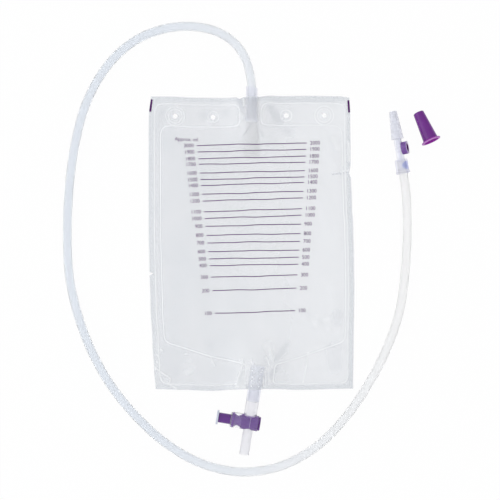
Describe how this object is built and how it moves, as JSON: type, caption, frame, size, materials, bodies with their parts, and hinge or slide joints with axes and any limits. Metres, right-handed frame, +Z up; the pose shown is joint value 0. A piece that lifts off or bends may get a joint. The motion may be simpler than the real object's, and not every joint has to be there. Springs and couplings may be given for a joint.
{
  "type": "urine drainage bag",
  "caption": "Two-litre welded film urine drainage bag with a long drain tube, stepped connector with sampling port, its cap taken off, and a push-pull T tap.",
  "frame": {"origin": "middle of the film bag, on the underside of its back film, where it lies on the floor", "axes": "+Z up, from the back film to the front film; +Y from the tap to the inlet; +X to the right as seen from above, towards the connector"},
  "size_m": [0.3737, 0.4519, 0.0192],
  "materials": {
    "film": "soft embossed PVC film, frosted",
    "clear_pvc": "clear soft PVC with a lilac tint",
    "clear_plastic": "clear rigid plastic",
    "button_plastic": "milky white plastic",
    "purple_plastic": "moulded purple plastic, satin",
    "purple_rubber": "matt"
  },
  "bodies": {
    "bag": {"front_film": "film", "back_film": "film", "inlet_sleeve": "clear_pvc", "valve_front_leaf": "film", "valve_back_leaf": "film", "drain_tube": "clear_pvc", "outlet_sleeve": "clear_pvc", "tap_body": "clear_plastic", "connector_body": "clear_plastic", "port_plug": "purple_rubber", "tube_socket": "clear_plastic", "connector_cap": "purple_plastic"},
    "plunger": {"tap_plunger": "purple_plastic", "plunger_button": "button_plastic"}
  },
  "joints": [
    {"name": "plunger_slide", "type": "slide", "parent": "bag", "child": "plunger", "axis": [0.9871, -0.1599, 0], "range_m": [0, 0.0115]}
  ]
}
